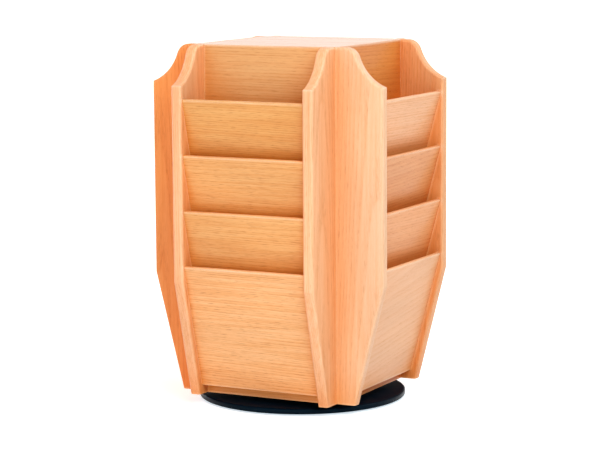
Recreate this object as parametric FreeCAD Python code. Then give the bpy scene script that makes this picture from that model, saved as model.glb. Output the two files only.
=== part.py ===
import FreeCAD, Part
import math
import os

from FreeCAD import Vector

# A revolving magazine rack for a counter top. A square oak core carries four identical bays, each
# with two side boards that stand out from the core and four slanted pockets one above the other.
# The core turns on a ball bearing of two pressed steel plates, on a round lacquered base.
# Millimetres. +Z is up, the axis of rotation is the Z axis and the feet stand on Z = 0.
# The front bay faces -Y, the right bay +X, the rear bay +Y and the left bay -X.

# ---------------------------------------------------------------- woodwork, overall
core_width = 266.7           # the square core, and so each bay, outside its side boards
body_height = 605.5          # all the woodwork, from the feet of the side boards to the top

# ---------------------------------------------------------------- side boards
side_thickness = 19.05
side_reach = 87.3            # how far a side board stands out from the core
foot_reach = 34.3            # the same at its foot
taper_height = 204.7         # the front edge slopes in below this height
nose_drop = 65.6             # front corner of the ogee, below the top
shoulder_flat = 16.0         # flat top before the rounded shoulder
shoulder_radius = 24.0
cove_radius = 80.0
side_edge_radius = 4.5       # all exposed edges are rounded over

# ---------------------------------------------------------------- pockets
back_thickness = 6.35
divider_thickness = 6.35
divider_count = 4
divider_setback = 4.3        # top edge of a divider, behind the front edge of the side boards
divider_rise = 213.1         # height of a divider, from its bottom edge to its top edge
lowest_divider_gap = 17.9    # bottom edge of the lowest divider above the feet of the side boards
top_divider_drop = 89.5      # top edge of the highest divider below the top
divider_edge_radius = 1.6
groove_depth = 6.35          # slanted grooves in the side boards that hold the dividers
groove_clearance = 0.1       # round a divider in its groove, and at its end
pocket_bottom_width = 12.3   # between the back panel and the divider, at the bottom
floor_height = 12.7          # strip that closes the bottom of a pocket

# ---------------------------------------------------------------- core
board_thickness = 19.05      # top board and bottom board
post_width = 31.75
dowel_radius = 4.75
dowel_length = 32.0
dowel_in_top = 13.0
dowel_clearance = 0.1
dowel_end_gap = 0.6

# ---------------------------------------------------------------- screws
screw_radius = 2.1
screw_head_radius = 4.1
screw_head_height = 2.8
screw_clearance = 0.1        # round every screw in its hole
screw_tip = 5.0              # pointed end of a wood screw
side_screw_length = 50.0
side_screws_per_board = 3
side_screw_end_distance = 62.0   # first and last screw, from the ends of the post
side_screw_stagger = 14.0        # the two boards of one post have their screws at other heights
post_screw_length = 45.0
base_screw_tip = 1.0         # blunt end of a screw into the lower bearing plate
base_screw_grip = 2.5        # end of such a screw above the top of the base
plate_screw_length = 14.0    # round-headed screws of the upper bearing plate, in the wood
plate_screw_head_radius = 3.9
plate_screw_head_height = 2.2

# ---------------------------------------------------------------- bearing
plate_width = 152.4          # square flange of each plate
plate_corner_radius = 9.0
plate_thickness = 1.0
plate_rise = 1.7             # the pressed middle of each plate stands this far off its flange
plate_edge_margin = 6.2      # from the pressed middle to the edge of the flange
plate_step_run = 3.0         # how far the step between flange and middle slopes
plate_bore_radius = 30.0     # inner edge of the upper plate
plate_screw_inset = 14.2     # four screws in each plate, in from its edges
ball_radius = 2.4
ball_count = 20
ball_inset = 15.0            # circle of the balls, in from the edge of the pressed middle
race_clearance = 0.15        # round a ball in its race
race_lift = 0.45             # between the race and what the plate is screwed to
collar_gap = 0.4             # round the collar of the lower plate, which holds the upper one down
collar_play = 0.3            # between the rolled edge of the collar and the upper plate
collar_lip = 3.0             # how far the rolled edge reaches over the upper plate

# ---------------------------------------------------------------- base
base_radius = 182.0
base_thickness = 9.5
base_top_radius = 3.5
base_bottom_radius = 2.0
foot_height = 3.0
foot_radius = 9.5
foot_edge_radius = 0.8
foot_inset = 22.0            # centre of a foot, in from the rim
foot_count = 6

# ---------------------------------------------------------------- worked out from these
half = core_width / 2
inside = half - side_thickness
base_top = foot_height + base_thickness
race_radius = ball_radius + race_clearance
bearing_height = 2 * (race_radius + plate_thickness + race_lift)
body_bottom = base_top + bearing_height
body_top = body_bottom + body_height
post_bottom = body_bottom + board_thickness
post_top = body_top - board_thickness
post_centre = half - post_width / 2
groove_floor = inside + groove_depth
plate_step_radius = plate_width / 2 - plate_edge_margin
ball_circle_radius = plate_step_radius - ball_inset
plate_screw_spacing = plate_width - 2 * plate_screw_inset

# A divider leans out so that its inner face starts at the bottom of its pocket and its outer face
# ends at the setback behind the front edge of the side boards.
divider_out = side_reach - divider_setback - back_thickness - pocket_bottom_width
divider_span = math.hypot(divider_out, divider_rise)
divider_tilt = math.acos(divider_thickness / divider_span) - math.atan2(divider_rise, divider_out)
divider_length = divider_span * math.sin(math.acos(divider_thickness / divider_span))
lowest_bottom = body_bottom + lowest_divider_gap
highest_bottom = body_top - top_divider_drop - divider_rise
divider_pitch = (highest_bottom - lowest_bottom) / (divider_count - 1)

BAYS = {"front": 0, "right": 90, "rear": 180, "left": 270}
POSTS = {"front_right": 0, "rear_right": 90, "rear_left": 180, "front_left": 270}
AXIS = Vector(0, 0, 1)
ORIGIN = Vector(0, 0, 0)
same_place = 0.01            # two heights or faces nearer to each other than this are the same


def turned(shape, degrees):
    """A copy of the shape, turned about the axis of rotation."""
    copy = shape.copy()
    copy.rotate(ORIGIN, AXIS, degrees)
    return copy


def bay_point(x, out, height):
    """A point of the front bay: across, outwards from the core's face, and up."""
    return Vector(x, -half - out, height)


def closed_face(edges):
    return Part.Face(Part.Wire(Part.__sortEdges__(edges)))


def line(start, end):
    return Part.makeLine(start, end)


def block(low, high):
    size = high - low
    return Part.makeBox(size.x, size.y, size.z, low)


def revolved(points):
    """A solid of revolution about Z from the corners (radius, height) of its half section."""
    corners = [Vector(radius, 0, height) for radius, height in points]
    section = Part.Face(Part.makePolygon(corners + corners[:1]))
    return section.revolve(ORIGIN, AXIS, 360)


def aimed(shape, place, direction):
    """The shape, made along +Z from the origin, moved to a place and aimed along a direction."""
    copy = shape.copy()
    copy.Placement = FreeCAD.Placement(place, FreeCAD.Rotation(AXIS, direction))
    return copy


# ---------------------------------------------------------------- fasteners
def countersunk_screw(length, tip, clearance=0.0):
    """Countersunk screw along +Z, its head flush with Z = 0. With a clearance, its hole."""
    shank = screw_radius + clearance
    return revolved([
        (0, 0),
        (screw_head_radius + clearance, 0),
        (shank, screw_head_height),
        (shank, length - tip + clearance),
        (0, length + clearance),
    ])


def round_screw(length):
    """Round-headed screw along +Z, the underside of its head at Z = 0."""
    top = Vector(0, 0, -plate_screw_head_height)
    head = Part.makeCylinder(plate_screw_head_radius, plate_screw_head_height, top)
    rim = [edge for edge in head.Edges if edge.BoundBox.ZMax < -plate_screw_head_height / 2]
    head = head.makeFillet(plate_screw_head_height / 2, rim)
    return head.fuse(Part.makeCylinder(screw_radius, length)).removeSplitter()


def screw_heights(side):
    """Heights of the screws into one side board. Those of a right board are staggered."""
    first = post_bottom + side_screw_end_distance
    last = post_top - side_screw_end_distance
    step = (last - first) / (side_screws_per_board - 1)
    shift = side_screw_stagger if side == "right" else 0.0
    return [first + step * i + shift for i in range(side_screws_per_board)]


def side_screws(side, clearance=0.0):
    """Screws of one side board of the front bay, through the post from inside the core."""
    x = (half - side_thickness / 2) * (1 if side == "right" else -1)
    screw = countersunk_screw(side_screw_length, screw_tip, clearance)
    outwards = Vector(0, -1, 0)
    return [aimed(screw, bay_point(x, -post_width, z), outwards) for z in screw_heights(side)]


def corners(spacing):
    """The four corners of a square about the axis."""
    return [(x * spacing / 2, y * spacing / 2) for x in (-1, 1) for y in (-1, 1)]


def post_screws(clearance=0.0):
    """Screws up through the bottom board into the posts."""
    screw = countersunk_screw(post_screw_length, screw_tip, clearance)
    return [aimed(screw, Vector(x, y, body_bottom), AXIS) for x, y in corners(2 * post_centre)]


def base_screws(clearance=0.0):
    """Screws up through the base into the lower bearing plate."""
    screw = countersunk_screw(base_thickness + base_screw_grip, base_screw_tip, clearance)
    return [aimed(screw, Vector(x, y, foot_height), AXIS) for x, y in corners(plate_screw_spacing)]


def top_dowels(clearance=0.0, end_gap=0.0):
    """Dowels between the posts and the top board."""
    low = post_top + dowel_in_top - dowel_length - end_gap
    length = dowel_length + 2 * end_gap
    radius = dowel_radius + clearance
    return [Part.makeCylinder(radius, length, Vector(x, y, low)) for x, y in corners(2 * post_centre)]


# ---------------------------------------------------------------- side boards
def ogee_edges(x):
    """Top edge of a side board from its front corner to its flat top: a cove, then a shoulder."""
    nose = Vector(side_reach, body_top - nose_drop, 0)
    shoulder = Vector(shoulder_flat, body_top - shoulder_radius, 0)
    # The cove's centre lies where it touches the shoulder and its arc ends at the nose.
    chord = nose - shoulder
    reach = shoulder_radius + cove_radius
    along = (reach ** 2 - cove_radius ** 2 + chord.Length ** 2) / (2 * chord.Length)
    across = math.sqrt(reach ** 2 - along ** 2)
    unit = chord / chord.Length
    normal = Vector(-unit.y, unit.x, 0)
    cove = shoulder + unit * along + normal * across
    turn = math.atan2(cove.y - shoulder.y, cove.x - shoulder.x)
    nose_turn = math.atan2(nose.y - cove.y, nose.x - cove.x)

    def on(centre, radius, angle):
        return bay_point(x, centre.x + radius * math.cos(angle), centre.y + radius * math.sin(angle))

    cove_turn = (nose_turn + turn - math.pi) / 2
    shoulder_turn = (turn + math.pi / 2) / 2
    touch = on(shoulder, shoulder_radius, turn)
    cove_arc = Part.Arc(on(cove, cove_radius, nose_turn), on(cove, cove_radius, cove_turn), touch)
    crown = bay_point(x, shoulder_flat, body_top)
    shoulder_arc = Part.Arc(touch, on(shoulder, shoulder_radius, shoulder_turn), crown)
    return [cove_arc.toShape(), shoulder_arc.toShape()]


def divider_section(index, x, clearance=0.0):
    """The slanted outline of one divider, as a face across the bay at x."""
    bottom = lowest_bottom + index * divider_pitch
    up = Vector(0, -math.sin(divider_tilt), math.cos(divider_tilt))
    out = Vector(0, -math.cos(divider_tilt), -math.sin(divider_tilt))
    foot = bay_point(x, back_thickness + pocket_bottom_width, bottom)
    foot = foot - up * clearance - out * clearance
    rise = up * (divider_length + 2 * clearance)
    width = out * (divider_thickness + 2 * clearance)
    return Part.Face(Part.makePolygon([foot, foot + rise, foot + rise + width, foot + width, foot]))


def exposed_edges(board):
    """The long edges of both faces of a side board, apart from its back and its foot."""
    chosen = []
    for edge in board.Edges:
        box = edge.BoundBox
        on_a_face = box.XLength < same_place
        at_the_back = box.YLength < same_place and abs(box.YMax + half) < same_place
        at_the_foot = box.ZMax < body_bottom + same_place
        if on_a_face and not at_the_back and not at_the_foot:
            chosen.append(edge)
    return chosen


def side_board(side):
    """A side board of the front bay: ogee top, tapered foot, rounded edges, slanted grooves."""
    x = inside if side == "right" else -half
    heel = bay_point(x, 0, body_bottom)
    toe = bay_point(x, foot_reach, body_bottom)
    knee = bay_point(x, side_reach, body_bottom + taper_height)
    nose = bay_point(x, side_reach, body_top - nose_drop)
    crown = bay_point(x, shoulder_flat, body_top)
    back = bay_point(x, 0, body_top)
    outline = [line(heel, toe), line(toe, knee), line(knee, nose)] + ogee_edges(x)
    outline += [line(crown, back), line(back, heel)]
    board = closed_face(outline).extrude(Vector(side_thickness, 0, 0))
    board = board.makeFillet(side_edge_radius, exposed_edges(board))
    groove_x = inside if side == "right" else -groove_floor
    for index in range(divider_count):
        groove = divider_section(index, groove_x, groove_clearance)
        board = board.cut(groove.extrude(Vector(groove_depth, 0, 0)))
    return board.cut(Part.makeCompound(side_screws(side, screw_clearance)))


# ---------------------------------------------------------------- pockets
def back_panel():
    """Panel of the front bay, on the face of the core between the side boards."""
    return block(bay_point(-inside, back_thickness, body_bottom), bay_point(inside, 0, body_top))


def divider(index):
    """One slanted divider of the front bay, with its ends in the grooves of the side boards."""
    end = groove_floor - groove_clearance
    board = divider_section(index, -end).extrude(Vector(2 * end, 0, 0))
    crest = lowest_bottom + index * divider_pitch + divider_rise - divider_thickness
    top = [e for e in board.Edges if e.BoundBox.XLength > end and e.BoundBox.ZMin > crest]
    return board.makeFillet(divider_edge_radius, top)


def pocket_floor(index):
    """Strip between the back panel and one divider, which the periodicals stand on."""
    low = lowest_bottom + index * divider_pitch
    lean = floor_height * math.tan(divider_tilt)
    front = back_thickness + pocket_bottom_width
    section = [
        bay_point(-inside, back_thickness, low),
        bay_point(-inside, front, low),
        bay_point(-inside, front + lean, low + floor_height),
        bay_point(-inside, back_thickness, low + floor_height),
    ]
    return Part.Face(Part.makePolygon(section + section[:1])).extrude(Vector(2 * inside, 0, 0))


# ---------------------------------------------------------------- core
def corner_post():
    """The post between the front bay and the right bay."""
    low = Vector(half - post_width, -half, post_bottom)
    post = block(low, Vector(half, -half + post_width, post_top))
    holes = side_screws("right", screw_clearance)
    holes += [turned(hole, BAYS["right"]) for hole in side_screws("left", screw_clearance)]
    holes += post_screws(screw_clearance)
    holes += top_dowels(dowel_clearance, dowel_end_gap)
    return post.cut(Part.makeCompound(holes))


def top_board():
    board = block(Vector(-half, -half, post_top), Vector(half, half, body_top))
    return board.cut(Part.makeCompound(top_dowels(dowel_clearance, dowel_end_gap)))


def bottom_board():
    board = block(Vector(-half, -half, body_bottom), Vector(half, half, post_bottom))
    holes = post_screws(screw_clearance)
    holes += plate_screw_holes(body_bottom, plate_screw_length + screw_clearance)
    return board.cut(Part.makeCompound(holes))


# ---------------------------------------------------------------- bearing
def plate_screw_holes(low, depth):
    """Upright holes for the four screws of a bearing plate."""
    radius = screw_radius + screw_clearance
    places = [Vector(x, y, low) for x, y in corners(plate_screw_spacing)]
    return [Part.makeCylinder(radius, depth, place) for place in places]


def plate_flange():
    """Square flange of a bearing plate, round its pressed middle, standing on Z = 0."""
    side = plate_width / 2
    flange = block(Vector(-side, -side, 0), Vector(side, side, plate_thickness))
    upright = [edge for edge in flange.Edges if edge.BoundBox.ZLength > plate_thickness / 2]
    flange = flange.makeFillet(plate_corner_radius, upright)
    flange = flange.cut(Part.makeCylinder(plate_step_radius, plate_thickness))
    return flange.cut(Part.makeCompound(plate_screw_holes(0, plate_thickness)))


def race(radius, height):
    """Half section of a ball race: its inner end, its arc and its outer end, at a height."""
    centre = bearing_height / 2
    spread = math.sqrt(radius ** 2 - (centre - height) ** 2)
    inner = Vector(ball_circle_radius - spread, 0, height)
    outer = Vector(ball_circle_radius + spread, 0, height)
    middle = Vector(ball_circle_radius, 0, centre - radius)
    return inner, Part.Arc(inner, middle, outer).toShape(), outer


def bearing_plate(bore):
    """A pressed plate on its flange. Its section starts with the given corners of its bore."""
    under = plate_rise
    over = plate_rise + plate_thickness
    slope = math.hypot(plate_step_run, plate_rise)
    shift = plate_thickness * (slope - plate_step_run) / plate_rise
    top_in, top_race, top_out = race(race_radius, over)
    low_in, low_race, low_out = race(race_radius + plate_thickness, under)
    step = [
        top_out,
        Vector(plate_step_radius - plate_step_run, 0, over),
        Vector(plate_step_radius, 0, plate_thickness),
        Vector(plate_step_radius, 0, 0),
        Vector(plate_step_radius - shift, 0, 0),
        Vector(plate_step_radius - plate_step_run - shift, 0, under),
        low_out,
    ]
    edges = Part.makePolygon([low_in] + bore + [top_in]).Edges
    edges += [top_race] + Part.makePolygon(step).Edges + [low_race]
    middle = closed_face(edges).revolve(ORIGIN, AXIS, 360)
    return middle.fuse(plate_flange()).removeSplitter()


def lower_plate():
    """Plate on the base. Its collar passes through the upper plate and is rolled over it."""
    outer = plate_bore_radius - collar_gap
    inner = outer - plate_thickness
    rolled = bearing_height - plate_rise + collar_play
    bore = [
        Vector(inner, 0, plate_rise),
        Vector(inner, 0, rolled + plate_thickness),
        Vector(plate_bore_radius + collar_lip, 0, rolled + plate_thickness),
        Vector(plate_bore_radius + collar_lip, 0, rolled),
        Vector(outer, 0, rolled),
        Vector(outer, 0, plate_rise + plate_thickness),
    ]
    plate = bearing_plate(bore)
    plate.translate(Vector(0, 0, base_top))
    return plate


def upper_plate():
    """Plate under the bottom board: the same pressing upside down, without the collar."""
    bore = [
        Vector(plate_bore_radius, 0, plate_rise),
        Vector(plate_bore_radius, 0, plate_rise + plate_thickness),
    ]
    plate = bearing_plate(bore)
    plate.rotate(ORIGIN, Vector(1, 0, 0), 180)
    plate.translate(Vector(0, 0, body_bottom))
    return plate


def balls():
    height = base_top + bearing_height / 2
    ball = Part.makeSphere(ball_radius, Vector(ball_circle_radius, 0, height))
    return Part.makeCompound([turned(ball, 360 * i / ball_count) for i in range(ball_count)])


def plate_screws():
    """Screws of the upper plate, up into the bottom board."""
    screw = round_screw(plate_screw_length + plate_thickness)
    low = body_bottom - plate_thickness
    return [aimed(screw, Vector(x, y, low), AXIS) for x, y in corners(plate_screw_spacing)]


# ---------------------------------------------------------------- base
def base_disc():
    """Round base with a rounded rim and the holes of the screws into the bearing."""
    disc = Part.makeCylinder(base_radius, base_thickness, Vector(0, 0, foot_height))
    rims = [edge for edge in disc.Edges if edge.BoundBox.ZLength < same_place]
    top = [edge for edge in rims if edge.BoundBox.ZMin > foot_height + base_thickness / 2]
    disc = disc.makeFillet(base_top_radius, top)
    low = [edge for edge in disc.Edges if edge.BoundBox.ZMax < foot_height + same_place]
    disc = disc.makeFillet(base_bottom_radius, low)
    return disc.cut(Part.makeCompound(base_screws(screw_clearance)))


def feet():
    """Soft pads under the base."""
    place = Vector(base_radius - foot_inset, 0, 0)
    foot = Part.makeCylinder(foot_radius, foot_height, place)
    sole = [edge for edge in foot.Edges if edge.BoundBox.ZMax < foot_height / 2]
    foot = foot.makeFillet(foot_edge_radius, sole)
    first = 180 / foot_count
    return Part.makeCompound([turned(foot, first + 360 * i / foot_count) for i in range(foot_count)])


# ---------------------------------------------------------------- the whole rack
def bay_pieces():
    """The pieces of the front bay by name."""
    pieces = {"left_side_board": side_board("left"), "right_side_board": side_board("right")}
    pieces["back_panel"] = back_panel()
    for index in range(divider_count):
        pieces[f"divider_{index + 1}"] = divider(index)
        pieces[f"pocket_floor_{index + 1}"] = pocket_floor(index)
    return pieces


def build():
    nodes = {}
    bay = bay_pieces()
    post = corner_post()
    side_board_screws = []
    for name, degrees in BAYS.items():
        for piece, shape in bay.items():
            nodes[f"{name}_bay_{piece}"] = turned(shape, degrees)
        for screw in side_screws("left") + side_screws("right"):
            side_board_screws.append(turned(screw, degrees))
    for name, degrees in POSTS.items():
        nodes[f"{name}_corner_post"] = turned(post, degrees)
    nodes["top_board"] = top_board()
    nodes["bottom_board"] = bottom_board()
    nodes["side_board_screws"] = Part.makeCompound(side_board_screws)
    nodes["post_screws"] = Part.makeCompound(post_screws())
    nodes["top_dowels"] = Part.makeCompound(top_dowels())
    nodes["bearing_upper_plate"] = upper_plate()
    nodes["bearing_lower_plate"] = lower_plate()
    nodes["bearing_balls"] = balls()
    nodes["bearing_screws"] = Part.makeCompound(plate_screws())
    nodes["base_screws"] = Part.makeCompound(base_screws())
    nodes["base_disc"] = base_disc()
    nodes["rubber_feet"] = feet()
    return nodes


os.makedirs("parts", exist_ok=True)
for node, shape in build().items():
    shape.exportStep(f"parts/{node}.step")
    state = "" if shape.isValid() else "INVALID"
    print(node, len(shape.Solids), "solid(s)", round(shape.Volume), "mm3", state)
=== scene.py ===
# %% [markdown]
# # A revolving magazine rack in oiled oak
#
# The rack is a square oak core with a bay on each of its four sides. A bay has two side boards with
# an ogee top, a back panel and four slanted dividers, which make four pockets one above the other.
# It turns on a ball bearing between two pressed steel plates, over a round lacquered base.
#
# The joinery comes from the CAD model, one object for each piece, already in place and in metres.
# So this lesson is about finishes: wood that is cut from a log rather than papered with a picture,
# lacquer, zinc, chrome, rubber, and the few small screws that are worth modelling by hand.

# %% Load the joinery
import math
import random

import bmesh
import bpy
from mathutils import Euler, Matrix, Vector


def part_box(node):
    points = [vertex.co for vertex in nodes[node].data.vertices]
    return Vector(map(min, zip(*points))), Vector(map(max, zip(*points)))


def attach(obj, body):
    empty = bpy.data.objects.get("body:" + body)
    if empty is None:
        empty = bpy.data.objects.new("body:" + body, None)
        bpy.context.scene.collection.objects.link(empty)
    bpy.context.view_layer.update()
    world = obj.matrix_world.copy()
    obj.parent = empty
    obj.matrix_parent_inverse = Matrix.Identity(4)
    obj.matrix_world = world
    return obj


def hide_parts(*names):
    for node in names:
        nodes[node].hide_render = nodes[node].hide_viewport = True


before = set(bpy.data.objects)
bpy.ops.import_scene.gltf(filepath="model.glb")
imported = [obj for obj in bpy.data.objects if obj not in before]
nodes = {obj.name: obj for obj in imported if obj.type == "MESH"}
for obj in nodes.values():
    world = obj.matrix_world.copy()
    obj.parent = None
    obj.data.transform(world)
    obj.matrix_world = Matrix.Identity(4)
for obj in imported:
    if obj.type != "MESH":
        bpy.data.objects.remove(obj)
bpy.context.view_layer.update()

# %% [markdown]
# ## Small helpers for node trees
#
# A procedural material is a tree of small nodes. It could be wired by hand in the shader editor, and
# a script does the same with three calls: add a node, feed its sockets, read its output. A value
# that is a socket gets a link, and anything else is typed into the field.


# %% Feed a socket
def feed(tree, socket, value):
    """Link another socket to this one, or type a value into it."""
    if isinstance(value, bpy.types.NodeSocket):
        tree.links.new(value, socket)
    else:
        socket.default_value = value


# %% Add a node
def add_node(tree, kind, settings=None, **inputs):
    """A new node. The settings are its options, and the inputs go to its sockets by name."""
    node = tree.nodes.new(kind)
    for option, value in (settings or {}).items():
        setattr(node, option, value)
    for name, value in inputs.items():
        feed(tree, node.inputs[name.replace("_", " ")], value)
    return node


# %% Arithmetic on numbers
def calc(tree, operation, *numbers, clamp=False):
    """What a Math node makes of numbers or sockets, in the order of its inputs."""
    node = add_node(tree, "ShaderNodeMath", {"operation": operation, "use_clamp": clamp})
    for socket, number in zip(node.inputs, numbers):
        feed(tree, socket, number)
    return node.outputs[0]


# %% Arithmetic on vectors
def vector_node(tree, operation, vectors):
    """A Vector Math node that is fed with vectors or colours."""
    node = add_node(tree, "ShaderNodeVectorMath", {"operation": operation})
    for socket, vector in zip(node.inputs, vectors):
        feed(tree, socket, vector)
    return node


def calc_vector(tree, operation, *vectors):
    """The vector that comes out, such as a sum."""
    return vector_node(tree, operation, vectors).outputs["Vector"]


def measure_vector(tree, operation, *vectors):
    """The number that comes out, such as a length."""
    return vector_node(tree, operation, vectors).outputs["Value"]


# %% Noise that can be drawn out along one direction
def noise(tree, place, stretch, detail=2.0, roughness=0.5):
    """Noise from 0 to 1. The three numbers of stretch are its blobs per metre along X, Y and Z."""
    stretched = calc_vector(tree, "MULTIPLY", place, stretch)
    node = add_node(
        tree, "ShaderNodeTexNoise", {"noise_dimensions": "3D", "normalize": True},
        Vector=stretched, Scale=1.0, Detail=detail, Roughness=roughness,
    )
    return node.outputs["Fac"]


# %% A curve from stops, for numbers
def ramp(tree, value, stops):
    """Map a number through (place, height) stops, with straight lines between them."""
    node = add_node(tree, "ShaderNodeValToRGB", Fac=value)
    elements = node.color_ramp.elements
    while len(elements) < len(stops):
        elements.new(0.5)
    for element, (place, height) in zip(elements, stops):
        element.position = place
        element.color = (height, height, height, 1)
    return node.outputs["Color"]


# %% Mix two colours
def mix(tree, factor, first, second, blend="MIX"):
    """The first colour at a factor of 0, and at 1 the second, or the two blended."""
    node = add_node(tree, "ShaderNodeMix", {"data_type": "RGBA", "blend_type": blend})
    feed(tree, node.inputs["Factor"], factor)
    for socket, value in zip([s for s in node.inputs if s.type == "RGBA"], (first, second)):
        feed(tree, socket, value)
    return [s for s in node.outputs if s.type == "RGBA"][0]


# %% [markdown]
# ## Where an edge is worn and highlit, and where a corner is shaded
#
# Hands polish the edges of a rack, so the oak's edges are paler. That pale colour also stands in
# for the highlight that a rounded edge catches, so it is painted highlight as well as wear. Where
# boards meet, the oak gets painted shade: a darker, more orange colour in place of the shade and the
# light that bounces between them. The Bevel node rounds the normals near an edge, so the place where
# it disagrees with the true normal is an edge. Ambient Occlusion measures how closed in a point is.
# Both follow the mesh, whichever way it is turned. They could be painted by hand instead, but then a
# changed board would have to be painted again.

# %% Edge and corner masks
mask_samples = 6


def edge_mask(tree, width):
    """1 on an edge, and 0 further from it than the width."""
    bevel = add_node(tree, "ShaderNodeBevel", {"samples": mask_samples}, Radius=width)
    true_normal = add_node(tree, "ShaderNodeNewGeometry").outputs["Normal"]
    agreement = measure_vector(tree, "DOT_PRODUCT", bevel.outputs["Normal"], true_normal)
    return ramp(tree, agreement, [(0.80, 1), (0.97, 0)])


def painted_shade_mask(tree, reach):
    """1 deep in a corner, and 0 in the open."""
    settings = {"samples": mask_samples}
    closed = add_node(tree, "ShaderNodeAmbientOcclusion", settings, Distance=reach)
    return ramp(tree, closed.outputs["AO"], [(0.35, 1), (0.95, 0)])


# %% [markdown]
# ## Oak that is cut from a log
#
# Oak is a ring-porous wood. Every spring the tree makes a band of wide open pores, which are dark
# once the wood is oiled, and every summer a band of dense plain wood. A board shows where it cuts
# those rings: stripes on a radial cut, tall arches on a flat cut, and arcs on its end grain.
#
# A picture of oak would show the same face on every side. So the grain is drawn in three dimensions
# instead: rings round a pith that runs along Z, with a slow wander, a taper that makes the arches,
# and pores drawn out along the grain. One node group does this in "grain space", and each board's
# own material turns and shifts its coordinates into the log. The boards then differ as real ones do.

# %% Start the group
oak = bpy.data.node_groups.new("oak_grain", "ShaderNodeTree")
oak_sockets = [
    ("Vector", "INPUT", "NodeSocketVector"),
    ("Ring Width", "INPUT", "NodeSocketFloat"),
    ("Tone", "INPUT", "NodeSocketFloat"),
    ("Stain", "INPUT", "NodeSocketColor"),
    ("Figure", "INPUT", "NodeSocketFloat"),
    ("Colour", "OUTPUT", "NodeSocketColor"),
    ("Roughness", "OUTPUT", "NodeSocketFloat"),
    ("Height", "OUTPUT", "NodeSocketFloat"),
]
for name, direction, kind in oak_sockets:
    oak.interface.new_socket(name, in_out=direction, socket_type=kind)
board = oak.nodes.new("NodeGroupInput").outputs
grain_place = board["Vector"]

# %% Wander and taper, then the distance from the pith
wander_blobs = (9, 9, 1.6)   # per metre, across and along the grain
wander_reach = 0.009         # metres that the rings wander from a true circle
taper = 0.020                # how fast the trunk narrows, which closes the arches of a flat cut
wander = add_node(oak, "ShaderNodeTexNoise", {"noise_dimensions": "3D"}, Scale=1.0)
feed(oak, wander.inputs["Vector"], calc_vector(oak, "MULTIPLY", grain_place, wander_blobs))
offset = calc_vector(oak, "SUBTRACT", wander.outputs["Color"], (0.5, 0.5, 0.5))
offset = calc_vector(oak, "MULTIPLY", offset, (wander_reach, wander_reach, 0))
bent = calc_vector(oak, "ADD", grain_place, offset)
from_pith = measure_vector(oak, "LENGTH", calc_vector(oak, "MULTIPLY", bent, (1, 1, 0)))
height_in_log = add_node(oak, "ShaderNodeSeparateXYZ", Vector=grain_place).outputs["Z"]
radius = calc(oak, "ADD", from_pith, calc(oak, "MULTIPLY", height_in_log, taper))

# %% Years: good ones are wide, poor ones are narrow
spells = 45.0                # how often good and poor years change places, per metre of radius
spell_shift = 2.2            # rings by which they put the pattern out of step, at most
years = add_node(oak, "ShaderNodeTexNoise", {"noise_dimensions": "1D"}, Scale=spells, Detail=1.0)
feed(oak, years.inputs["W"], radius)
ring_count = calc(oak, "DIVIDE", radius, board["Ring Width"])
ring_count = calc(oak, "ADD", ring_count, calc(oak, "MULTIPLY", years.outputs["Fac"], spell_shift))
season = calc(oak, "FRACT", ring_count)
spring_stops = [(0.0, 0.9), (0.10, 1.0), (0.45, 0.30), (0.80, 0.0), (0.96, 0.10), (1.0, 0.9)]
spring = ramp(oak, season, spring_stops)

# %% Pores, streaks and slow changes of tone
pores = noise(oak, grain_place, (1500, 1500, 70), detail=1.0)
dashes = noise(oak, grain_place, (560, 560, 48))
streaks = noise(oak, grain_place, (210, 210, 5.5), detail=3.0, roughness=0.55)
clouds = noise(oak, grain_place, (11, 11, 3))
fibre = noise(oak, grain_place, (2600, 2600, 160))


def mostly_spring(mask, in_summer):
    """A mask that is whole in the spring bands, and thinned to a share in the summer wood."""
    return calc(oak, "MULTIPLY", mask, calc(oak, "MULTIPLY_ADD", spring, 1 - in_summer, in_summer))


pore_mask = mostly_spring(ramp(oak, pores, [(0.56, 0), (0.66, 1)]), in_summer=0.22)
dash_mask = mostly_spring(ramp(oak, dashes, [(0.50, 0), (0.70, 1)]), in_summer=0.35)

# %% [markdown]
# The colours go on in layers, as the eye meets them: summer wood, the darker spring bands, long
# streaks, short dashes of pores, then the pale worn edges, which also hold a painted highlight, and
# the painted shade of the corners.
# Figure says how strongly a board shows its bands, streaks and pores.

# %% Colours of the oak
summer_wood = (0.820, 0.540, 0.345, 1)
spring_wood = (0.735, 0.395, 0.190, 1)
pale_streak = (0.855, 0.620, 0.440, 1)
dash_colour = (0.640, 0.300, 0.125, 1)
pore_colour = (0.420, 0.175, 0.065, 1)
# pale edge: wear, and painted highlight where a rounded edge catches the light
worn_and_highlit_edge = (0.880, 0.730, 0.580, 1)
# painted shade: darker and more orange where boards meet
painted_corner_shade = (0.970, 0.610, 0.280, 1)

layers = [                     # where it goes, how much of it, and its colour
    (spring, 0.45, spring_wood),
    (ramp(oak, streaks, [(0.45, 0), (0.75, 1)]), 0.60, pale_streak),
    (ramp(oak, streaks, [(0.25, 1), (0.48, 0)]), 0.50, spring_wood),
    (dash_mask, 0.35, dash_colour),
    (pore_mask, 0.45, pore_colour),
]
surface = summer_wood
for mask, share, colour in layers:
    amount = calc(oak, "MULTIPLY", calc(oak, "MULTIPLY", mask, share), board["Figure"])
    surface = mix(oak, amount, surface, colour)

# %% Tone of the board, worn edges with painted highlight, and painted corner shade
worn_and_highlit_width = 0.009           # metres
painted_shade_reach = 0.09
cloud_tone = ramp(oak, clouds, [(0.25, 0.90), (0.75, 1.06)])
surface = mix(oak, 1.0, surface, board["Stain"], "MULTIPLY")
surface = calc_vector(oak, "MULTIPLY", surface, calc(oak, "MULTIPLY", board["Tone"], cloud_tone))
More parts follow.
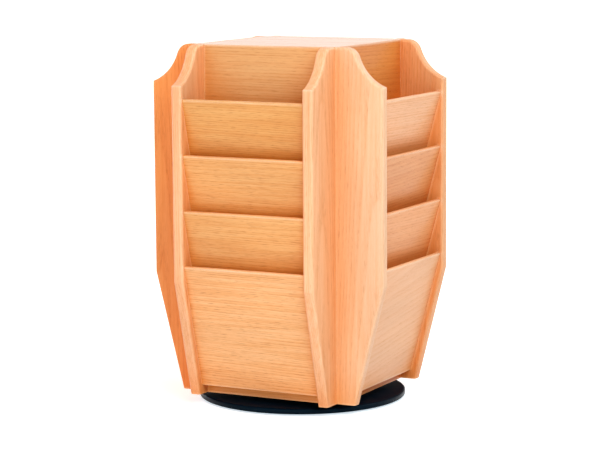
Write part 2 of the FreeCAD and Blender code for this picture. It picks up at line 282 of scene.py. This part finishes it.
# how strongly the edge shows pale: wear and painted highlight
handling_and_highlight = ramp(oak, noise(oak, grain_place, (60, 60, 9)), [(0.3, 0.5), (0.7, 0.95)])
wear_and_highlight = calc(oak, "MULTIPLY", edge_mask(oak, worn_and_highlit_width), handling_and_highlight)
surface = mix(oak, wear_and_highlight, surface, worn_and_highlit_edge)
# painted shade in the corners
surface = mix(oak, painted_shade_mask(oak, painted_shade_reach), surface, painted_corner_shade, "MULTIPLY")

# %% Sheen and relief
pore_dullness = 0.25
wear_polish = -0.08
fibre_height = 0.25
pore_depth = -0.8
dash_depth = -0.3
rubbing = noise(oak, grain_place, (35, 35, 6), detail=3.0)
roughness = ramp(oak, rubbing, [(0.3, 0.34), (0.7, 0.44)])
roughness = calc(oak, "MULTIPLY_ADD", pore_mask, pore_dullness, roughness)
roughness = calc(oak, "MULTIPLY_ADD", wear_and_highlight, wear_polish, roughness)
relief = calc(oak, "MULTIPLY", fibre, fibre_height)
relief = calc(oak, "MULTIPLY_ADD", pore_mask, pore_depth, relief)
relief = calc(oak, "MULTIPLY_ADD", dash_mask, dash_depth, relief)

finished = oak.nodes.new("NodeGroupOutput").inputs
feed(oak, finished["Colour"], surface)
feed(oak, finished["Roughness"], roughness)
feed(oak, finished["Height"], relief)
print("oak grain group:", len(oak.nodes), "nodes")

# %% [markdown]
# ## One material for each board
#
# A board needs to know which way its grain runs and where in the log it was cut. Mapping turns the
# object's coordinates until the grain runs along Z, then shifts them so that the pith lies where it
# should: far to one side of a wide face for a flat cut with arches, off a corner for a rift cut.

# %% Turn and shift coordinates
turn_to_grain = {
    "z": Euler((0, 0, 0)),
    "x": Euler((0, -math.pi / 2, 0)),
    "y": Euler((math.pi / 2, 0, 0)),
}


def middle_of(name):
    """The middle of a CAD piece."""
    low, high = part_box(name)
    return (low + high) / 2


def object_place(tree):
    """Where the shaded point is, in metres from the object's origin."""
    return add_node(tree, "ShaderNodeTexCoord").outputs["Object"]


def grain_coordinates(tree, centre, pith, along, slant):
    """Object coordinates, turned and shifted so that the log's pith is the Z axis.

    A slant turns the board about its middle, so that the grain runs out over its long edges.
    """
    turn = turn_to_grain[along].to_matrix()
    slanted = Matrix.Rotation(slant, 3, "X" if along == "y" else "Y") @ turn
    mapping = add_node(tree, "ShaderNodeMapping", {"vector_type": "POINT"}, Vector=object_place(tree))
    mapping.inputs["Rotation"].default_value = slanted.to_euler()
    mapping.inputs["Location"].default_value = -(slanted @ centre) - turn @ pith
    return mapping.outputs["Vector"]


# %% An empty material with its main shader
def new_material(name):
    """A material with nothing but a Principled shader wired to its output."""
    material = bpy.data.materials.new(name)
    material.use_nodes = True
    tree = material.node_tree
    tree.nodes.clear()
    shader = add_node(tree, "ShaderNodeBsdfPrincipled")
    output = add_node(tree, "ShaderNodeOutputMaterial")
    tree.links.new(shader.outputs[0], output.inputs["Surface"])
    return material, tree, shader


# %% Relief on a shader
def add_relief(tree, shader, height, strength, depth):
    """Raise and sink the surface by a height from 0 to 1. The depth is in metres."""
    bump = add_node(tree, "ShaderNodeBump", Strength=strength, Distance=depth)
    feed(tree, bump.inputs["Height"], height)
    feed(tree, shader.inputs["Normal"], bump.outputs["Normal"])


# %% [markdown]
# Oil warms oak: it takes out some green and most of the blue, more on one board than on the next.
# Solid boards go towards amber. The veneer of the front and rear panels stays nearer to straw. A
# Hue Saturation node could warm the wood too, but a colour that multiplies it works as oil does: the
# pale wood changes a lot and the dark pores change little.

# %% Stains
amber = (1.00, 0.56, 0.17)
straw = (1.00, 0.76, 0.17)


def stain(warmth, tint=amber):
    """White, shifted towards a tint."""
    return tuple(1 - warmth * (1 - channel) for channel in tint) + (1,)


# %% Oak for one board
def oak_board(
    name, centre, pith, along, ring_width, tone, board_stain, coat=0.12, figure=1.0, slant=0.0
):
    """Oiled oak for a board: its middle, its way to the pith, and the axis of its grain."""
    material, tree, shader = new_material(name)
    grain = add_node(
        tree, "ShaderNodeGroup", {"node_tree": oak},
        Vector=grain_coordinates(tree, centre, pith, along, slant),
        Ring_Width=ring_width, Tone=tone, Stain=board_stain, Figure=figure,
    )
    feed(tree, shader.inputs["Base Color"], grain.outputs["Colour"])
    feed(tree, shader.inputs["Roughness"], grain.outputs["Roughness"])
    add_relief(tree, shader, grain.outputs["Height"], strength=0.35, depth=0.0004)
    shader.inputs["IOR"].default_value = 1.45
    shader.inputs["Specular IOR Level"].default_value = 0.25
    shader.inputs["Coat Weight"].default_value = coat
    shader.inputs["Coat Roughness"].default_value = 0.18
    return material


# %% Put a material on a piece
def finish_piece(name, material):
    """Give a CAD piece its finish, in place of the plain one that it came with."""
    mesh = nodes[name].data
    mesh.materials.clear()
    mesh.materials.append(material)


# %% [markdown]
# ## Side boards
#
# The eight side boards are solid oak with the grain upright. Each is cut from its own place in the
# log, so neighbours don't share a pattern at the corner. The pith lies off the broad face. One
# material could serve all eight, but then the rings would run on from board to board, as if the
# rack was carved out of a single log.

# %% Where the side boards are cut
chance = random.Random(11)
along_log = 3                # metres up or down the log, at most
bay_outward = {
    "front": Vector((0, -1, 0)),
    "right": Vector((1, 0, 0)),
    "rear": Vector((0, 1, 0)),
    "left": Vector((-1, 0, 0)),
}


def side_pith(outward):
    """Somewhere off the broad face of a side board."""
    broad = Vector((outward.y, outward.x, 0))
    return broad * chance.uniform(0.055, 0.12) + outward * chance.uniform(-0.05, 0.05)


# %% How the boards differ
board_figures = {              # how strongly the figure shows, where that isn't 1
    "right_bay_left_side_board": 0.8,
    "right_bay_divider_1": 0.5,
    "front_bay_divider_1": 1.5,
    "front_bay_divider_2": 1.3,
    "front_bay_divider_3": 1.3,
    "front_bay_divider_4": 1.3,
}
# Tone and warmth per board: each board's own colour, with painted light and shade on top.
# right_bay_left and front_bay_right are paler, for faces that catch the light, and left_bay_right is
# darker and more orange, for the face in the shaded corner at the left.
side_board_tone_and_painted_light = {          # tone, warmth
    "front_bay_left": (1.02, 0.28),
    "front_bay_right": (1.00, 0.22),
    "right_bay_left": (0.965, 0.02),
    "right_bay_right": (0.97, 0.50),
    "rear_bay_left": (1.00, 0.34),
    "rear_bay_right": (1.03, 0.22),
    "left_bay_left": (1.00, 0.52),
    "left_bay_right": (0.955, 0.85),
}

# %% Finish the side boards
for bay, outward in bay_outward.items():
    for side in ("left", "right"):
        name = f"{bay}_bay_{side}_side_board"
        tone, warmth = side_board_tone_and_painted_light[f"{bay}_bay_{side}"]
        pith = side_pith(outward) + Vector((0, 0, chance.uniform(-along_log, along_log)))
        ring_width = chance.uniform(0.0028, 0.0045)
        wood = oak_board(
            name, middle_of(name), pith, "z", ring_width, tone, stain(warmth),
            figure=board_figures.get(name, 1.0),
        )
        finish_piece(name, wood)
print("side boards finished:", len(side_board_tone_and_painted_light))

# %% [markdown]
# ## Panels
#
# The back panels, the dividers and the strips under the pockets have their grain across the bay.
# They are sliced nearly flat, so the pith lies well behind them and the figure is calm. The lowest
# panel of the right bay is cut a little askew, from a tree with wider rings, so its grain runs out
# over its edges. Their places in the log are drawn by chance, but their tones and warmths are
# written down one by one. Besides each panel's own colour, these hold painted light and shade: a
# panel whose face falls in shade is darker and warmer, and one that catches the light is paler.

# %% Tones of the panels, with painted light and shade
# Tone and warmth per panel: its own colour, with painted light and shade on top
panel_tone_and_painted_light = {               # tone, warmth; the dividers count from the bottom up
    "back_panel": (0.86, 0.50),
    "divider_1": (0.99, 0.38),
    "divider_2": (0.905, 0.56),
    "divider_3": (0.915, 0.56),
    "divider_4": (0.85, 0.66),
}
floor_shade = (0.98, 0.60)
# The right bay: its own colours, with painted light and shade
right_bay_tone_and_painted_light = {           # painted shade on the back panel, darker and warmer; painted light on dividers 1 and 4, paler
    "back_panel": (0.84, 0.97),
    "divider_1": (0.99, 0.20),
    "divider_2": (0.97, 0.55),
    "divider_3": (0.93, 0.64),
    "divider_4": (1.03, 0.22),
}
askew_panels = {"right_bay_divider_1": (math.radians(-5), 2.0)}    # slant, and wider rings

# %% Finish the panels
pockets = range(1, 5)
panel_names = ["back_panel"]
panel_names += [f"divider_{level}" for level in pockets]
panel_names += [f"pocket_floor_{level}" for level in pockets]
for bay, outward in bay_outward.items():
    along = "x" if bay in ("front", "rear") else "y"
    tint = straw if along == "x" else amber
    across_bay = Vector((abs(outward.y), abs(outward.x), 0))
    tone_and_painted_light = right_bay_tone_and_painted_light if bay == "right" else panel_tone_and_painted_light
    for panel in panel_names:
        name = f"{bay}_bay_{panel}"
        behind = chance.uniform(0.14, 0.22)
        above_or_below = chance.choice((-1, 1)) * chance.uniform(0.10, 0.24)
        pith = -outward * behind + Vector((0, 0, above_or_below))
        pith += across_bay * chance.uniform(-along_log, along_log)
        ring_width = chance.uniform(0.003, 0.0045)
        slant, wider = askew_panels.get(name, (0.0, 1.0))
        tone, warmth = tone_and_painted_light.get(panel, floor_shade)
        wood = oak_board(
            name, middle_of(name), pith, along, ring_width * wider, tone, stain(warmth, tint),
            figure=board_figures.get(name, 1.0), slant=slant,
        )
        finish_piece(name, wood)
print("panels finished:", len(bay_outward) * len(panel_names))

# %% [markdown]
# ## Top board, bottom board, posts and dowels
#
# Things are put down on the top board, so it gets more clear coat than the rest, and it mirrors the
# pale room at a low angle. The bottom board, the posts and the dowels hardly show, and one material
# would do for them. But an oak material is a place in the log, so each piece gets its own by the
# same call, and the rack also holds up when it is taken apart.

# %% Finish the core
core_pith = Vector((2.0, 0.03, -0.13))
wood = oak_board(
    "top_board", middle_of("top_board"), core_pith, "x",
    ring_width=0.0055, tone=1.03, board_stain=stain(0.04), coat=0.8,
)
finish_piece("top_board", wood)
wood = oak_board(
    "bottom_board", middle_of("bottom_board"), core_pith, "y",
    ring_width=0.005, tone=1.02, board_stain=stain(0.4, straw),
)
finish_piece("bottom_board", wood)
for corner in ("front_right", "rear_right", "rear_left", "front_left"):
    name = f"{corner}_corner_post"
    pith = Vector((chance.uniform(0.05, 0.1), chance.uniform(-0.1, -0.05), chance.uniform(-2, 2)))
    wood = oak_board(
        name, middle_of(name), pith, "z", ring_width=0.0045, tone=0.9, board_stain=stain(0.4)
    )
    finish_piece(name, wood)
dowel_pith = Vector((0.2, 0.1, 1))
wood = oak_board(
    "dowel_wood", Vector(), dowel_pith, "z", ring_width=0.004, tone=0.95, board_stain=stain(0.2)
)
finish_piece("top_dowels", wood)
print("materials so far:", len(bpy.data.materials))

# %% [markdown]
# ## Black lacquer on the base
#
# The base is sprayed with a black lacquer that has a little blue in it. Sprayed lacquer has a fine
# orange peel, and a base that stands on a counter gathers faint scuffs. Its face is rubbed down to a
# dull satin, and its rim, which isn't, keeps more of its gloss: where the rim turns away from the
# eye it mirrors the room. One finish would leave the face too glossy or the rim too dull. So the
# disc has two, and the faces of its rim take the second.

# %% Lacquer
deep_black = (0.0004, 0.0035, 0.0085, 1)
dusty_black = (0.0010, 0.0055, 0.0125, 1)
blue_sheen = (0.45, 0.80, 1.00, 1)


def black_lacquer(name, smooth, rough, shine):
    """Black lacquer whose roughness runs from smooth to rough, with a share of mirrored light."""
    material, tree, shader = new_material(name)
    place = object_place(tree)
    peel = noise(tree, place, (420, 420, 420))
    smudge = noise(tree, place, (22, 22, 22), detail=4.0, roughness=0.6)
    scratches = noise(tree, place, (90, 900, 90), detail=3.0)
    scuffs = ramp(tree, scratches, [(0.62, 0), (0.72, 0.12)])
    dust = ramp(tree, smudge, [(0.35, 0), (0.75, 1)])
    satin = ramp(tree, smudge, [(0.3, smooth), (0.7, rough)])
    feed(tree, shader.inputs["Base Color"], mix(tree, dust, deep_black, dusty_black))
    feed(tree, shader.inputs["Roughness"], calc(tree, "ADD", satin, scuffs))
    shader.inputs["Specular IOR Level"].default_value = shine
    shader.inputs["Specular Tint"].default_value = blue_sheen
    add_relief(tree, shader, peel, strength=0.10, depth=0.0003)
    return material


# %% Finish the face and the rim of the base
rim_start = 0.95             # as a share of the radius
level_face = 0.7             # a face whose normal is nearer to upright than this isn't rim
face_lacquer = black_lacquer("black_lacquer", smooth=0.42, rough=0.54, shine=0.015)
rim_lacquer = black_lacquer("rim_lacquer", smooth=0.26, rough=0.36, shine=0.06)
finish_piece("base_disc", face_lacquer)
disc = nodes["base_disc"].data
disc.materials.append(rim_lacquer)
rim_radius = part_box("base_disc")[1].x
for face in disc.polygons:
    outside = face.center.to_2d().length > rim_start * rim_radius
    face.material_index = 1 if outside and abs(face.normal.z) < level_face else 0
print("faces of the rim:", sum(face.material_index for face in disc.polygons))

# %% [markdown]
# ## Zinc, chrome and rubber
#
# The bearing plates are pressed from zinc-plated steel, and the wood screws have a yellower zinc.
# Plating is never one grey: it has a faint mottle, drawing marks and darker handling stains. The
# balls are polished chrome steel with a film of grease, and the feet are plain black rubber, matt
# and a little dusty. The metals are the same recipe with other numbers, so one function makes them.

# %% A plated metal
rubbed_edge = (0.92, 0.92, 0.93, 1)
rubbed_width = 0.0008        # metres
stain_share = 0.55           # brightness of a handling stain, as a share of the dull tone


def plated_metal(name, bright, dull, roughness, mottles, depth):
    """Plated steel, mottled between two tones, with its roughness from low to high."""
    material, tree, shader = new_material(name)
    place = object_place(tree)
    mottle = noise(tree, place, (mottles, mottles, mottles), detail=3.0, roughness=0.6)
    stains = noise(tree, place, (28, 28, 60), detail=4.0, roughness=0.6)
    drawn = noise(tree, place, (1400, 70, 300))
    tint = mix(tree, ramp(tree, mottle, [(0.3, 0), (0.7, 1)]), bright, dull)
    stained = tuple(channel * stain_share for channel in dull[:3]) + (1,)
    tint = mix(tree, ramp(tree, stains, [(0.55, 0), (0.8, 0.5)]), tint, stained)
    rubbed = calc(tree, "MULTIPLY", edge_mask(tree, rubbed_width), 0.5)
    feed(tree, shader.inputs["Base Color"], mix(tree, rubbed, tint, rubbed_edge))
    low, high = roughness
    feed(tree, shader.inputs["Roughness"], ramp(tree, mottle, [(0.3, low), (0.7, high)]))
    shader.inputs["Metallic"].default_value = 1.0
    relief = calc(tree, "MULTIPLY_ADD", mottle, 0.5, drawn)
    add_relief(tree, shader, relief, strength=0.15, depth=depth)
    return material


# %% Metals
zinc = plated_metal(
    "zinc_plate", bright=(0.70, 0.72, 0.74, 1), dull=(0.52, 0.54, 0.57, 1),
    roughness=(0.26, 0.42), mottles=260, depth=0.0002,
)
screw_zinc = plated_metal(
    "screw_zinc", bright=(0.74, 0.66, 0.44, 1), dull=(0.56, 0.50, 0.36, 1),
    roughness=(0.24, 0.40), mottles=500, depth=0.0001,
)
chrome = plated_metal(
    "chrome_steel", bright=(0.78, 0.79, 0.80, 1), dull=(0.66, 0.67, 0.69, 1),
    roughness=(0.06, 0.16), mottles=700, depth=0.00003,
)
metal_pieces = {
    "bearing_upper_plate": zinc,
    "bearing_lower_plate": zinc,
    "bearing_balls": chrome,
    "side_board_screws": screw_zinc,
    "post_screws": screw_zinc,
}
for name, metal in metal_pieces.items():
    finish_piece(name, metal)
print("metal pieces:", len(metal_pieces))

# %% Rubber
black_rubber = (0.016, 0.016, 0.017, 1)
dusty_rubber = (0.055, 0.052, 0.048, 1)
scuffed_rubber = (0.080, 0.078, 0.075, 1)
scuff_width = 0.0012         # metres
rubber, tree, shader = new_material("foot_rubber")
place = object_place(tree)
grit = noise(tree, place, (900, 900, 900), detail=3.0)
dust = noise(tree, place, (60, 60, 60), detail=4.0, roughness=0.6)
skin = mix(tree, ramp(tree, dust, [(0.4, 0), (0.75, 0.6)]), black_rubber, dusty_rubber)
scuffed = calc(tree, "MULTIPLY", edge_mask(tree, scuff_width), 0.4)
feed(tree, shader.inputs["Base Color"], mix(tree, scuffed, skin, scuffed_rubber))
feed(tree, shader.inputs["Roughness"], ramp(tree, grit, [(0.3, 0.68), (0.7, 0.86)]))
add_relief(tree, shader, grit, strength=0.3, depth=0.0002)
finish_piece("rubber_feet", rubber)
print("materials:", len(bpy.data.materials))

# %% [markdown]
# ## Screws with a cross recess
#
# Eight screws show when the rack is tipped or seen from low down: four countersunk ones under the
# base, and four round-headed ones that hold the upper bearing plate. A screw could be spun from half
# its outline. Here it is drawn out of a round bar, as a header makes it: the end face is pushed out
# step by step and widened into a head. Two crossed tapered blades then cut the recess, as a punch
# would. One screw of each kind is modelled, and copies of it stand in the four holes, each turned
# to its own angle, because no two screws stop at the same one.


# %% Select an end face
def select_end(piece, upper):
    """In edit mode, select only the face at the upper or lower end of a bar."""
    bpy.ops.mesh.select_all(action="DESELECT")
    mesh = bmesh.from_edit_mesh(piece.data)
    mesh.select_mode = {"FACE"}
    flat = [face for face in mesh.faces if abs(face.normal.z) > 0.9]
    flat.sort(key=lambda face: face.calc_center_median().z)
    flat[-1 if upper else 0].select_set(True)
    bmesh.update_edit_mesh(piece.data)


# %% Draw a bar out
def draw_out(piece, upper, radius, height, outline):
    """Push an end face from its radius and height through the (radius, height) steps."""
    bpy.ops.object.mode_set(mode="EDIT")
    bpy.ops.mesh.select_mode(type="FACE")
    select_end(piece, upper)
    for new_radius, new_height in outline:
        bpy.ops.mesh.extrude_region_move(
            TRANSFORM_OT_translate={"value": (0, 0, new_height - height)}
        )
        widening = new_radius / radius
        bpy.ops.transform.resize(value=(widening, widening, 1), center_override=(0, 0, new_height))
        radius, height = new_radius, new_height
    bpy.ops.object.mode_set(mode="OBJECT")


# %% Punch the recess
recess_span = 0.0046         # metres across the cross, at the face of the head
recess_width = 0.0011        # of one blade
recess_depth = 0.0017
span_taper = 0.45            # how much of the span is left at the bottom
width_taper = 0.8
punch_start = 0.0004         # the blade starts this far outside the head


def punch_recess(screw, face_height):
    """Cut a tapered cross up into a head whose face looks down."""
    bottom = face_height + recess_depth
    across = (recess_span, recess_width, span_taper, width_taper)
    turned = (recess_width, recess_span, width_taper, span_taper)
    for along_x, along_y, taper_x, taper_y in (across, turned):
        bpy.ops.object.select_all(action="DESELECT")
        bpy.ops.mesh.primitive_cube_add(
            size=1,
            location=(0, 0, face_height + (recess_depth - punch_start) / 2),
            scale=(along_x, along_y, recess_depth + punch_start),
        )
        blade = bpy.context.object
        bpy.ops.object.mode_set(mode="EDIT")
        select_end(blade, True)
        bpy.ops.transform.resize(value=(taper_x, taper_y, 1), center_override=(0, 0, bottom))
        bpy.ops.object.mode_set(mode="OBJECT")
        cut = screw.modifiers.new("recess", "BOOLEAN")
        cut.operation = "DIFFERENCE"
        cut.object = blade
        bpy.context.view_layer.objects.active = screw
        bpy.ops.object.modifier_apply(modifier=cut.name)
        bpy.data.objects.remove(blade)


# %% Model one screw
screw_sides = 40
softened_edge = 0.00012      # metres
sharp_edge = math.radians(30)
smooth_up_to = math.radians(35)


def model_screw(name, shank, low, high, head, tip):
    """A screw on the Z axis: a bar from low to high, drawn out into its head and its tip."""
    bpy.ops.object.select_all(action="DESELECT")
    bpy.ops.mesh.primitive_cylinder_add(
        vertices=screw_sides, radius=shank, depth=high - low, location=(0, 0, (low + high) / 2)
    )
    screw = bpy.context.object
    screw.name = name
    draw_out(screw, False, shank, low, head)
    draw_out(screw, True, shank, high, tip)
    punch_recess(screw, head[-1][1])
    soften = screw.modifiers.new("soften", "BEVEL")
    soften.width = softened_edge
    soften.segments = 2
    soften.limit_method = "ANGLE"
    soften.angle_limit = sharp_edge
    bpy.ops.object.modifier_apply(modifier=soften.name)
    bpy.ops.object.select_all(action="DESELECT")
    screw.select_set(True)
    bpy.ops.object.shade_smooth_by_angle(angle=smooth_up_to)
    bpy.ops.object.transform_apply(location=True, rotation=True, scale=True)
    return screw


# %% Stand a screw in each of four holes
screw_turns = random.Random(5)


def fill_holes(screw, spread, body, node):
    """Copy a screw into the four holes of a bearing plate, each at its own angle."""
    for number, (x, y) in enumerate(((1, -1), (1, 1), (-1, 1), (-1, -1)), start=1):
        piece = screw.copy()
        piece.data = screw.data.copy()
        piece.name = f"{screw.name}_{number}"
        bpy.context.scene.collection.objects.link(piece)
        piece.location = (x * spread, y * spread, 0)
        piece.rotation_euler = (0, 0, screw_turns.uniform(0, math.pi / 2))
        bpy.ops.object.select_all(action="DESELECT")
        piece.select_set(True)
        bpy.context.view_layer.objects.active = piece
        bpy.ops.object.transform_apply(location=True, rotation=True, scale=True)
        piece.data.materials.clear()
        piece.data.materials.append(screw_zinc)
        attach(piece, body)
        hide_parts(node)
    bpy.data.objects.remove(screw)


# %% The countersunk screws of the base
shank_radius = 0.0021
head_radius = 0.0041
head_height = 0.0028
blunt_tip = 0.0010
low_corner, high_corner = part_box("base_screws")
base_screw = model_screw(
    "base_screw", shank_radius, low_corner.z + head_height, high_corner.z - blunt_tip,
    head=[(head_radius, low_corner.z)],
    tip=[(shank_radius * 0.6, high_corner.z)],
)
fill_holes(base_screw, high_corner.x - head_radius, "base", "base_screws")

# %% The round-headed screws of the bearing
round_radius = 0.0039
round_height = 0.0022
round_steps = 6
pointed_tip = 0.0045
low_corner, high_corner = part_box("bearing_screws")
rounding = round_height / 2
dome = [(round_radius, low_corner.z + round_height), (round_radius, low_corner.z + rounding)]
for step in range(1, round_steps + 1):
    turn = math.pi / 2 * step / round_steps
    inward = rounding * (1 - math.cos(turn))
    dome.append((round_radius - inward, low_corner.z + rounding * (1 - math.sin(turn))))
point = [
    (shank_radius * 0.85, high_corner.z - pointed_tip * 0.75),
    (shank_radius * 0.1, high_corner.z),
]
bearing_screw = model_screw(
    "bearing_screw", shank_radius, low_corner.z + round_height, high_corner.z - pointed_tip,
    head=dome,
    tip=point,
)
fill_holes(bearing_screw, high_corner.x - round_radius, "rack", "bearing_screws")
print("screws modelled: 4 countersunk, 4 round-headed")

# %% [markdown]
# ## A pale floor that stays white
#
# The rack stands on a white sweep. It could be made white by pouring light on it, but that would
# burn out the wood. Instead the floor glows where it is seen or mirrored, and takes the rack's
# shadow as any floor does. The light it throws back on the rack is that of a plain pale floor. Near
# the rack the glow is weaker and a little blue, which makes up for the warm light off the wood, so
# the shadow comes out grey.


# %% Rays that see, and rays that light
def seen_or_mirrored(tree):
    """1 for rays from the camera, off a gloss or through glass, and 0 for those that only light."""
    rays = add_node(tree, "ShaderNodeLightPath").outputs
    seen = calc(tree, "MAXIMUM", rays["Is Camera Ray"], rays["Is Glossy Ray"])
    return calc(tree, "MAXIMUM", seen, rays["Is Transmission Ray"])


def choose_shader(tree, factor, first, second):
    """The first shader at a factor of 0, and the second at 1."""
    choice = add_node(tree, "ShaderNodeMixShader", Fac=factor)
    tree.links.new(first.outputs[0], choice.inputs[1])
    tree.links.new(second.outputs[0], choice.inputs[2])
    return choice.outputs[0]


# %% The white of the sweep
pale_paint = (0.74, 0.74, 0.74, 1)
near_glow = (0.60, 0.69, 0.75, 1)
far_glow = (1, 1, 1, 1)
glow_span = 2.0              # metres from the middle, for a stop at 1
white, tree, shader = new_material("white_sweep")
tree.nodes.remove(shader)
plain = add_node(tree, "ShaderNodeBsdfDiffuse", Color=pale_paint)
from_middle = measure_vector(tree, "LENGTH", object_place(tree))
outwards = calc(tree, "DIVIDE", from_middle, glow_span, clamp=True)
far = ramp(tree, outwards, [(0.12, 0), (0.75, 1)])
glow = add_node(
    tree, "ShaderNodeEmission", Color=mix(tree, far, near_glow, far_glow), Strength=1.0
)
bright = add_node(tree, "ShaderNodeAddShader")
tree.links.new(plain.outputs[0], bright.inputs[0])
tree.links.new(glow.outputs[0], bright.inputs[1])
sweep = choose_shader(tree, seen_or_mirrored(tree), plain, bright)
output = [node for node in tree.nodes if node.type == "OUTPUT_MATERIAL"][0]
tree.links.new(sweep, output.inputs["Surface"])

# %% Floor
floor_size = 80.0
bpy.ops.object.select_all(action="DESELECT")
bpy.ops.mesh.primitive_plane_add(size=floor_size, location=(0, 0, 0))
floor = bpy.context.object
floor.name = "floor"
floor.data.materials.append(white)
print("floor:", floor_size, "m across")

# %% [markdown]
# ## Light
#
# One large soft lamp stands to the right, above the rack, so the right bay and the fronts are lit
# and the recess at the left corner falls into shade. Weaker lamps open the shade: one high up, one
# level with the front, a small one low down for the foot of the rack, and one each for the rear and
# the left bay. The room around is white where it is seen or mirrored. As light it is warm at the
# left, as if from a wall of wood, and pale at the right, so the shade at the left corner is warm too.
# A panorama of a studio could do all this at once, but lamps can be moved one by one.

# %% World
left_wall = (0.95, 0.40, 0.11, 1)
right_wall = (0.62, 0.57, 0.50, 1)
world = bpy.data.worlds.new("studio")
bpy.context.scene.world = world
world.use_nodes = True
tree = world.node_tree
tree.nodes.clear()
direction = add_node(tree, "ShaderNodeTexCoord").outputs["Generated"]
sideways = add_node(tree, "ShaderNodeSeparateXYZ", Vector=direction).outputs["X"]
to_right = ramp(tree, calc(tree, "MULTIPLY_ADD", sideways, 0.5, 0.5), [(0.35, 0), (0.65, 1)])
room = mix(tree, to_right, left_wall, right_wall)
ambient = add_node(tree, "ShaderNodeBackground", Color=room, Strength=1.0)
backdrop = add_node(tree, "ShaderNodeBackground", Color=(1, 1, 1, 1), Strength=1.0)
output = add_node(tree, "ShaderNodeOutputWorld")
sky = choose_shader(tree, seen_or_mirrored(tree), ambient, backdrop)
tree.links.new(sky, output.inputs["Surface"])


# %% A lamp by its direction
def direction_to(azimuth, elevation):
    """A step of one metre, so many radians round from the front and up."""
    return Vector((
        math.sin(azimuth) * math.cos(elevation),
        -math.cos(azimuth) * math.cos(elevation),
        math.sin(elevation),
    ))


def place_lamp(name, azimuth, elevation, distance, size, level, colour, aim_height):
    """A square lamp aimed at the rack. A level of 1 lights a facing surface as it is written."""
    aim = Vector((0, 0, aim_height))
    back = direction_to(math.radians(azimuth), math.radians(elevation))
    lamp = bpy.data.lights.new(name, "AREA")
    lamp.shape = "SQUARE"
    lamp.size = size
    lamp.energy = level * (math.pi * distance) ** 2
    lamp.color = colour
    holder = bpy.data.objects.new(name, lamp)
    bpy.context.scene.collection.objects.link(holder)
    holder.location = aim + back * distance
    holder.rotation_euler = back.to_track_quat("Z", "Y").to_euler()
    return holder


# %% Lamps
mid_height = 0.32            # metres, about half way up the rack
foot_height = 0.03
lamp_plan = [                # name, azimuth, elevation, distance, size, level, colour, aim
    ("key", 48, 33, 2.6, 1.5, 0.55, (0.83, 0.94, 1.0), mid_height),
    ("high", 45, 60, 2.6, 1.5, 0.15, (1.0, 1.0, 1.0), mid_height),
    ("front", 8, 0, 3.2, 1.3, 0.28, (0.84, 0.94, 1.0), mid_height),
    ("card", -18, 2, 1.3, 0.4, 0.08, (0.90, 0.96, 1.0), foot_height),
    ("rear", 150, 40, 3.2, 2.0, 0.18, (1.0, 1.0, 1.0), mid_height),
    ("left", 250, 8, 3.2, 1.6, 0.22, (0.83, 0.94, 1.0), mid_height),
]
lamps = {plan[0]: place_lamp(*plan) for plan in lamp_plan}
lamps["key"].visible_glossy = False      # seen from behind, it would burn out the top board
print("lamps:", ", ".join(lamps))

# %% [markdown]
# ## Camera
#
# The camera stands a little to the right of the front bay and slightly above it, with a long lens,
# so upright edges stay almost parallel. It could be turned by a constraint that tracks the rack, but
# a matrix also takes the small roll.

# %% Camera
camera_azimuth = math.radians(27.195)
camera_elevation = math.radians(7.821)
camera_roll = math.radians(-0.384)
camera_distance = 4.01666    # metres, from the point that it looks at
aim_sideways = -0.00274
aim_height = 0.30326
lens = 136.96                # millimetres
right = Vector((math.cos(camera_azimuth), math.sin(camera_azimuth), 0))
back = direction_to(camera_azimuth, camera_elevation)
up = back.cross(right)
aim = right * aim_sideways + Vector((0, 0, aim_height))
rolled_right = right * math.cos(camera_roll) + up * math.sin(camera_roll)
rolled_up = up * math.cos(camera_roll) - right * math.sin(camera_roll)
camera_data = bpy.data.cameras.new("camera")
camera_data.lens = lens
camera_data.sensor_width = 36.0
camera_data.clip_end = 50.0
camera = bpy.data.objects.new("camera", camera_data)
bpy.context.scene.collection.objects.link(camera)
turned = Matrix((rolled_right, rolled_up, back)).transposed().to_4x4()
camera.matrix_world = Matrix.Translation(aim + back * camera_distance) @ turned
bpy.context.scene.camera = camera
bpy.context.scene.view_settings.view_transform = "Standard"
print("camera:", lens, "mm lens,", round(camera_distance, 2), "m away")
